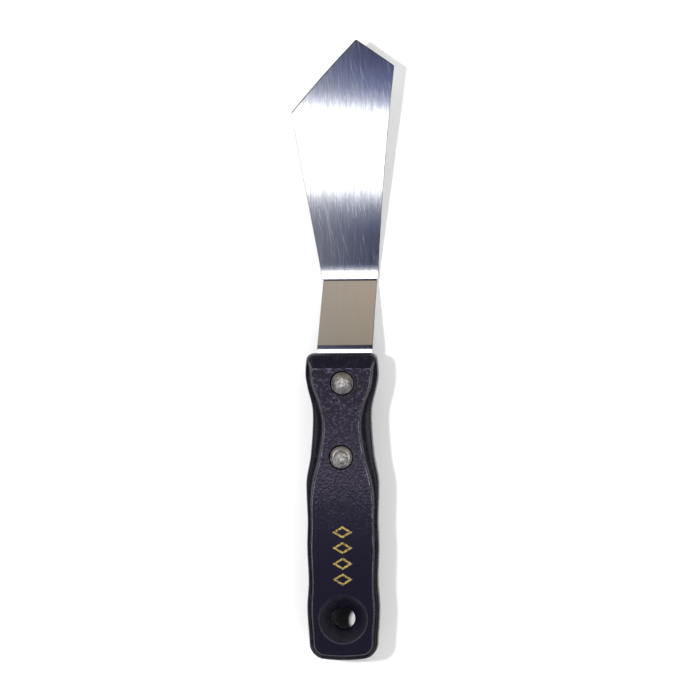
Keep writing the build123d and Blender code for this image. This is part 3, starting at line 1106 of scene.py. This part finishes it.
def round_corners(bm, corners, radius, steps=5):
    """Rounds the outline's vertices that stand at these corners."""
    near = 0.01 * MM
    verts = [
        vert for vert in bm.verts if any((vert.co - corner).length < near for corner in corners)
    ]
    bmesh.ops.bevel(
        bm, geom=verts, offset=radius, segments=steps, profile=0.5, affect="VERTICES", material=-1
    )


def slice_through(bm, place, normal):
    """Cuts every face that a plane crosses, so that it can bend there."""
    whole = [*bm.verts, *bm.edges, *bm.faces]
    near = 0.001 * MM
    bmesh.ops.bisect_plane(bm, geom=whole, dist=near, plane_co=place, plane_no=normal)


def edge_reach(own, place, corners):
    """Width of the bevel at a place on the outline: wider along the two edges at the tip."""
    right_corner, tip, left_corner = corners
    start_y = left_corner.y if place.x < tip.x else right_corner.y
    return own.point_bevel if place.y > start_y else own.edge_break


def inset(before, here, after, reach):
    """A corner of the outline moved inwards, so that both of its edges move by the reach."""
    first, second = (here - before).normalized(), (after - here).normalized()
    middle = (first + second).normalized()
    return here + Vector((-middle.y, middle.x, 0)) * reach / first.dot(middle)


def blade_blank(own):
    """The flat blank: its outline with rounded corners, and a border where its edges are ground."""
    outline, corners, tang_ends = blade_outline(own)
    bm = bmesh.new()
    bm.faces.new([bm.verts.new(point) for point in outline])
    round_corners(bm, corners, own.corner_round)
    round_corners(bm, tang_ends, own.tang_corner)
    points = [vert.co.copy() for face in bm.faces for vert in face.verts]
    bm.clear()
    following = [*points[1:], points[0]]
    inner = [
        bm.verts.new(inset(before, here, after, edge_reach(own, here, corners)))
        for before, here, after in zip([points[-1], *points], points, following)
    ]
    outer = [bm.verts.new(point) for point in points]
    bm.faces.new(inner)
    for i in range(len(points)):
        face = bm.faces.new((outer[i - 1], outer[i], inner[i], inner[i - 1]))
        face.material_index = GROUND
    return bm, corners


def bent_blade(own):
    """The blank, cut where it bends, given its thickness and laid along the strip's line."""
    columns = 12
    bm, corners = blade_blank(own)
    line = steel_line(own)
    for station in line[1:-1]:
        slice_through(bm, Vector((0, station.x, 0)), Vector((0, 1, 0)))
    for i in range(1, columns):
        slice_through(bm, BLADE_LOW.lerp(BLADE_HIGH, i / columns), Vector((1, 0, 0)))
    drop = bm.verts.layers.float.new("drop")
    for edge in bm.edges:
        if edge.is_boundary:
            for vert in edge.verts:
                vert[drop] = own.edge_depth * edge_reach(own, vert.co, corners)
    copied = bmesh.ops.extrude_face_region(bm, geom=list(bm.faces))["geom"]
    lower = {item for item in copied if isinstance(item, bmesh.types.BMVert)}
    for vert in bm.verts:
        side = -1 if vert in lower else 1
        half = steel_thickness(own, vert.co.y) / 2 - vert[drop]
        vert.co.z = line_height(line, vert.co.y) + side * half - blade_twist(own, vert.co)
    for face in bm.faces:
        face.smooth = True
    return bm


class KNIFE_OT_blade(bpy.types.Operator):
    """Builds the blade, its neck and its tang from one bent strip"""

    bl_idname = "palette_knife.blade"
    bl_label = "Blade"

    def execute(self, context):
        own = settings("blade")
        piece = new_piece(bent_blade(own), "blade_brushed", [brushed_steel(), ground_steel()])
        radius = settings("handle").sleeve_hole
        for centre in RIVETS.values():
            hole = bmesh.new()
            bmesh.ops.create_cone(
                hole,
                cap_ends=True,
                segments=48,
                radius1=radius,
                radius2=radius,
                depth=4 * own.steel,
                matrix=Matrix.Translation(centre),
            )
            cut_away(piece, hole)
        stand_for(piece, "blade_steel", "blade")
        return {"FINISHED"}


# ------------------------------------------------------------------ rivets
def head_profile(own, crown):
    """A head in section, as (out, up) points from the middle of its dome to its seat."""
    dome_steps, rim_steps = 14, 5
    edge = own.head_radius - own.head_round
    dome = []
    for i in range(dome_steps + 1):
        share = i / dome_steps
        dome.append((edge * share, own.head_edge + crown * (1 - share**own.flatness)))
    rim = []
    for i in range(1, rim_steps + 1):
        turn = math.pi / 2 * i / rim_steps
        out = edge + own.head_round * math.sin(turn)
        rim.append((out, own.head_edge - own.head_round * (1 - math.cos(turn))))
    return [*dome, *rim, (own.head_radius, 0)]


def dents(own, seed, ringed):
    """How far the hammer moved a head's surface: a function of a place and its distance out.

    Every head has shallow facets that die out at its rim. A ringed one was also peened.
    """
    ring_depth, middle_depth, middle_reach = 1.6, 1.2, 0.5
    finer, fainter = 2.3, 0.5

    def push(place, out):
        share = out / own.head_radius
        spot = place / own.facet + Vector((seed, seed, seed))
        facets = noise.noise(spot) + fainter * noise.noise(finer * spot)
        depth = own.dent * facets * max(0.0, 1 - share**4)
        if ringed:
            groove = math.exp(-(((share - own.groove_at) / own.groove_wide) ** 2))
            middle = max(0.0, middle_reach - share)
            depth -= own.dent * (ring_depth * groove + middle_depth * middle)
        return depth

    return push


def rivet_half(centre, section, side, push):
    """One half of a rivet, spun from its section: a hammered head and its shank or sleeve."""
    own = settings("rivets")
    seat_z = FACE_Z - settings("handle").seat_depth
    touching = 0.001 * MM
    bm = bmesh.new()
    verts = [bm.verts.new(Vector((out, 0, up))) for out, up in section]
    edges = [bm.edges.new(pair) for pair in zip(verts, verts[1:])]
    bmesh.ops.spin(
        bm,
        geom=[*verts, *edges],
        cent=(0, 0, 0),
        axis=UP,
        angle=2 * math.pi,
        steps=72,
        use_merge=True,
        dvec=(0, 0, 0),
    )
    bmesh.ops.remove_doubles(bm, verts=bm.verts, dist=touching)
    for vert in bm.verts:
        out = math.hypot(vert.co.x, vert.co.y)
        if vert.co.z > own.head_edge - own.head_round / 2:
            vert.co.z += push(vert.co.copy(), out)
    for face in bm.faces:
        face.smooth = True
    bmesh.ops.translate(bm, verts=bm.verts, vec=UP * seat_z)
    bmesh.ops.scale(bm, verts=bm.verts, vec=(1, 1, side))
    bmesh.ops.translate(bm, verts=bm.verts, vec=centre)
    return bm


class KNIFE_OT_rivets(bpy.types.Operator):
    """Builds the two halves of each cutlery rivet"""

    bl_idname = "palette_knife.rivets"
    bl_label = "Rivets"

    def execute(self, context):
        own = settings("rivets")
        finish = nickel_plate()
        span = 2 * (FACE_Z - settings("handle").seat_depth)
        post_end = own.bore_floor + own.post_end_gap - span
        sleeve_end = own.sleeve_end_gap - span
        bore = own.post_radius + own.bore_clearance
        post = ((own.post_radius, 0), (own.post_radius, post_end), (0, post_end))
        sleeve = (
            (own.sleeve_radius, 0),
            (own.sleeve_radius, sleeve_end),
            (bore, sleeve_end),
            (bore, -own.bore_floor),
            (0, -own.bore_floor),
        )
        seed_step = 7.3
        for i, (place, centre) in enumerate(RIVETS.items()):
            halves = (
                ("post", own.front_crown, post, 1),
                ("socket", own.back_crown, sleeve, -1),
            )
            for half, crown, shank, side in halves:
                push = dents(own, seed_step * i + side, ringed=side > 0 and place == "rear")
                name = f"{place}_rivet_{half}"
                bm = rivet_half(centre, [*head_profile(own, crown), *shank], side, push)
                piece = new_piece(bm, name + "_hammered", [finish])
                stand_for(piece, "rivet_metal", name)
        return {"FINISHED"}


# ------------------------------------------------------------------ foil
class KNIFE_OT_foil(bpy.types.Operator):
    """Finishes the stamped foil mark"""

    bl_idname = "palette_knife.foil"
    bl_label = "Foil mark"

    def execute(self, context):
        # The mark keeps its CAD mesh, and only its finish is new.
        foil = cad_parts["foil_mark"]
        foil.data.materials.clear()
        foil.data.materials.append(stamped_foil())
        return {"FINISHED"}


# ------------------------------------------------------------------ stage
def area_light(name, place, target, size, power, on_gloss):
    """A rectangular soft light: it shows in glossy surfaces, or it lights the matt ones."""
    light = bpy.data.lights.new(name, "AREA")
    light.shape = "RECTANGLE"
    light.size, light.size_y = size
    light.energy = power
    lamp = bpy.data.objects.new(name, light)
    lamp.location = place
    lamp.rotation_euler = (place - target).to_track_quat("Z", "Y").to_euler()
    lamp.visible_camera = False
    lamp.visible_glossy = on_gloss
    lamp.visible_diffuse = not on_gloss
    bpy.context.scene.collection.objects.link(lamp)


def ramp(tree, value, stops):
    """A colour ramp over a value, whose stops are (value, sRGB hex) or (value, sRGB hex, weight)."""
    low, high = stops[0][0], stops[-1][0]
    share = add(tree, "MapRange", {"Value": value, "From Min": low, "From Max": high})
    node = add(tree, "ValToRGB", {"Fac": share}).node
    elements = node.color_ramp.elements
    for place, *_ in stops[1:-1]:
        elements.new((place - low) / (high - low))
    for element, (_, code, *weight) in zip(elements, stops):
        element.color = (*srgb(code)[:3], *(weight or [1.0]))
    return node.outputs


# What glossy surfaces see. Along the knife, by how many degrees a way leans from straight up
# towards the tip: pale strips by the soft box, then a dark room, then a warm wall beyond the tip.
ROOM_ALONG = (
    (-90, "8f9094"),
    (-50, "4a4a52"),
    (-26, "565c7a"),
    (-16, "3c4262"),
    (-11, "2a3260"),
    (-9.4, "7880a4"),
    (-8, "b4bad0"),
    (-7, "2a2a3e"),
    (-2.2, "2a2a3e"),
    (-1, "c0c8e0"),
    (0, "9aa6d0"),
    (1.2, "7884bc"),
    (3, "4a5690"),
    (6, "1c1638"),
    (25, "201a38"),
    (28.6, "b8aa90"),
    (32, "f0dcc6"),
    (46, "4a4a52"),
    (90, "8f9094"),
)
# Across it, by the share of a way that goes right: a panel on each side, which hides what is
# along the knife by the weight given last.
ROOM_ACROSS = (
    (-1.0, "2c2c32", 1),
    (-0.7, "2c2c32", 1),
    (-0.58, "fcfcff", 1),
    (-0.42, "f0f0f4", 1),
    (-0.3, "b4b4b4", 0.95),
    (-0.1, "a4a8b8", 0.46),
    (-0.035, "aab4d0", 0.4),
    (0.0, "aab4d4", 0.06),
    (0.04, "a8a7a6", 0),
    (0.32, "e0dcd8", 0),
    (0.42, "f4f0ec", 1),
    (0.56, "f4f0ec", 1),
    (0.68, "2c2c32", 1),
    (1.0, "2c2c32", 1),
)


def glossy_room(tree, parts, wall):
    """The room that glossy surfaces see: dim, with pale panels and grey walls lower down."""
    slope = add(tree, "Math", {0: parts["Y"], 1: parts["Z"]}, operation="ARCTAN2")
    lean = add(tree, "Math", {0: slope}, operation="DEGREES")
    along = ramp(tree, lean, ROOM_ALONG)
    across = ramp(tree, parts["X"], ROOM_ACROSS)
    # The side panels are fainter beyond the tip.
    fainter = add(
        tree,
        "MapRange",
        {"Value": lean, "From Min": 8, "From Max": 14, "To Min": 1.0, "To Max": 0.4},
    )
    weight = add(tree, "Math", {0: across["Alpha"], 1: fainter}, operation="MULTIPLY")
    panels = add(
        tree, "Mix", {0: weight, 1: along["Color"], 2: across["Color"]}, data_type="RGBA"
    )
    low = add(tree, "MapRange", {"Value": parts["Z"], "From Min": 0.46, "From Max": 0.14})
    seen = add(tree, "Mix", {0: low, 1: panels, 2: wall}, data_type="RGBA")
    return add(tree, "Background", {"Color": seen})


def matt_walls(tree, parts, fill):
    """The walls that light matt surfaces: bright on the right, dark on the left and overhead."""
    left, right = 0.05 * fill, 2.45 * fill
    side = add(
        tree, "MapRange", {"Value": parts["X"], "From Min": -1, "To Min": left, "To Max": right}
    )
    overhead = add(
        tree,
        "MapRange",
        {"Value": parts["Z"], "From Min": 0.7, "From Max": 0.86, "To Min": 1.0, "To Max": 0.0},
    )
    power = add(tree, "Math", {0: overhead, 1: side}, operation="MULTIPLY")
    return add(tree, "Background", {"Color": srgb("ffffff"), "Strength": power})


def studio_surroundings(own):
    """Walls that light the matt surfaces, and a dimmer room that shows in the glossy ones."""
    world = bpy.data.worlds.new("Studio")
    world.use_nodes = True
    world.cycles.sampling_method = "NONE"
    bpy.context.scene.world = world
    tree = world.node_tree
    tree.nodes.clear()
    way = add(tree, "TexCoord").node.outputs["Generated"]
    parts = add(tree, "SeparateXYZ", {"Vector": way}).node.outputs
    room = glossy_room(tree, parts, own.wall)
    walls = matt_walls(tree, parts, own.fill)
    glossy = add(tree, "LightPath").node.outputs["Is Glossy Ray"]
    mixed = add(tree, "MixShader", {0: glossy, 1: walls, 2: room})
    add(tree, "OutputWorld", {"Surface": mixed})


def studio_camera(own, target):
    """The camera, which leans and rolls a little from straight above its target."""
    towards = Vector((math.sin(own.tilt), 0, math.cos(own.tilt)))
    rolled = Vector((math.sin(own.roll), math.cos(own.roll), 0))
    upright = (rolled - towards * rolled.dot(towards)).normalized()
    axes = Matrix((upright.cross(towards), upright, towards)).transposed()
    data = bpy.data.cameras.new("camera")
    data.lens = data.sensor_width * own.distance / own.view_width
    camera = bpy.data.objects.new("camera", data)
    camera.matrix_world = Matrix.Translation(target + towards * own.distance) @ axes.to_4x4()
    bpy.context.scene.collection.objects.link(camera)
    bpy.context.scene.camera = camera


class KNIFE_OT_stage(bpy.types.Operator):
    """Sets out the floor, the lights and the camera"""

    bl_idname = "palette_knife.stage"
    bl_label = "Stage"

    def execute(self, context):
        own = settings("stage")
        context.scene.view_settings.view_transform = "Standard"
        studio_surroundings(own)

        # The floor lies a hair under the knife, so that no two faces share a plane.
        clear = 0.01 * MM
        bm = bmesh.new()
        under = Matrix.Translation(UP * (FLOOR_Z - clear))
        bmesh.ops.create_grid(bm, x_segments=1, y_segments=1, size=own.floor_reach, matrix=under)
        floor = new_piece(bm, "floor", [studio_paper()])

        box_y = (own.box_start + own.box_end) / 2
        area_light(
            "overhead_box",
            Vector((0, box_y, own.box_height)),
            Vector((0, box_y, 0)),
            (own.box_wide, own.box_end - own.box_start),
            own.box_power,
            on_gloss=True,
        )
        target = Vector((own.view_x, own.view_y, 0))
        way = Matrix.Rotation(-own.key_turn, 3, "Z") @ Vector(
            (-math.cos(own.key_rise), 0, math.sin(own.key_rise))
        )
        area_light(
            "side_light",
            target + way * own.key_reach,
            target,
            (own.key_size, own.key_size),
            own.key_power,
            on_gloss=False,
        )
        studio_camera(own, target)
        return {"FINISHED"}


# ------------------------------------------------------------------ add-on
class KNIFE_PT_panel(bpy.types.Panel):
    """Lists the knife's pieces and their settings"""

    bl_idname = "KNIFE_PT_panel"
    bl_label = "Palette Knife"
    bl_space_type = "VIEW_3D"
    bl_region_type = "UI"
    bl_category = "Palette Knife"

    def draw(self, context):
        for operator in OPERATORS:
            self.layout.operator(operator.bl_idname)
        for group in GROUPS:
            own = settings(group)
            column = self.layout.box().column()
            for name in own.bl_rna.properties.keys():
                if name not in ("rna_type", "name"):
                    column.prop(own, name)


GROUPS = {
    "handle": KnifeHandleSettings,
    "blade": KnifeBladeSettings,
    "rivets": KnifeRivetSettings,
    "foil": KnifeFoilSettings,
    "stage": KnifeStageSettings,
}
OPERATORS = (
    KNIFE_OT_scales,
    KNIFE_OT_blade,
    KNIFE_OT_rivets,
    KNIFE_OT_foil,
    KNIFE_OT_stage,
)


def register():
    """Registers the settings, the operators and the panel"""
    for group, kind in GROUPS.items():
        bpy.utils.register_class(kind)
        setattr(bpy.types.Scene, "knife_" + group, bpy.props.PointerProperty(type=kind))
    for kind in (*OPERATORS, KNIFE_PT_panel):
        bpy.utils.register_class(kind)


def unregister():
    """Takes them away again"""
    for kind in (KNIFE_PT_panel, *reversed(OPERATORS)):
        bpy.utils.unregister_class(kind)
    for group, kind in GROUPS.items():
        delattr(bpy.types.Scene, "knife_" + group)
        bpy.utils.unregister_class(kind)


def main():
    """Builds the knife and its stage"""
    register()
    bpy.ops.palette_knife.scales()
    bpy.ops.palette_knife.blade()
    bpy.ops.palette_knife.rivets()
    bpy.ops.palette_knife.foil()
    bpy.ops.palette_knife.stage()


if __name__ == "__main__":
    main()
